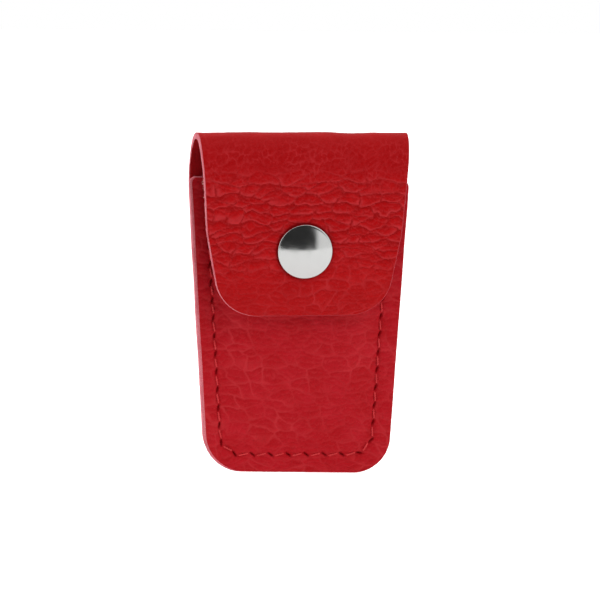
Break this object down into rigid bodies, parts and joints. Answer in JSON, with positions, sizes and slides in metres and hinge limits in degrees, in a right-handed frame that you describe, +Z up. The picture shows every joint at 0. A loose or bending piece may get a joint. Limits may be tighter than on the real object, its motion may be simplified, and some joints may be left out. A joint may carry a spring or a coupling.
{
  "type": "small leather case",
  "caption": "Small red pebbled-leather case: a stitched pocket, and a flap that folds over the mouth and closes with a domed metal snap.",
  "frame": {"origin": "middle of the case's width and depth, level with its foot", "axes": "+Z up from the foot to the roll, -Y out of the front where the flap and its snap are, +X to the right seen from the front"},
  "size_m": [0.0512, 0.0141, 0.0805],
  "materials": {
    "red_leather": "pebbled, semi-matt",
    "red_thread": "twisted, lightly waxed",
    "polished_steel": "polished",
    "plain_steel": "as pressed"
  },
  "bodies": {
    "pouch": {"back_panel": "red_leather", "front_panel": "red_leather", "needle_thread": "red_thread", "bobbin_thread": "red_thread", "snap_stud": "plain_steel", "stud_eyelet": "plain_steel"},
    "fold_1": {"fold_strip_1": "red_leather"},
    "fold_2": {"fold_strip_2": "red_leather"},
    "flap": {"flap_panel": "red_leather", "snap_cap": "polished_steel", "cap_post": "plain_steel", "snap_socket": "plain_steel", "socket_spring": "plain_steel"}
  },
  "joints": [
    {"name": "bend_1", "type": "hinge", "parent": "pouch", "child": "fold_1", "pos_m": [0, 0.00596, 0.07731], "axis": [-1, 0, 0], "range_deg": [0, 60]},
    {"name": "bend_2", "type": "hinge", "parent": "fold_1", "child": "fold_2", "pos_m": [0, 0.00006, 0.08049], "axis": [-1, 0, 0], "range_deg": [0, 60]},
    {"name": "bend_3", "type": "hinge", "parent": "fold_2", "child": "flap", "pos_m": [0, -0.00571, 0.07652], "axis": [-1, 0, 0], "range_deg": [0, 60], "deforming": ["socket_spring"]}
  ],
  "couplings": [
    {"joint": "bend_2", "follows": "bend_1", "ratio": 1},
    {"joint": "bend_3", "follows": "bend_1", "ratio": 1}
  ]
}
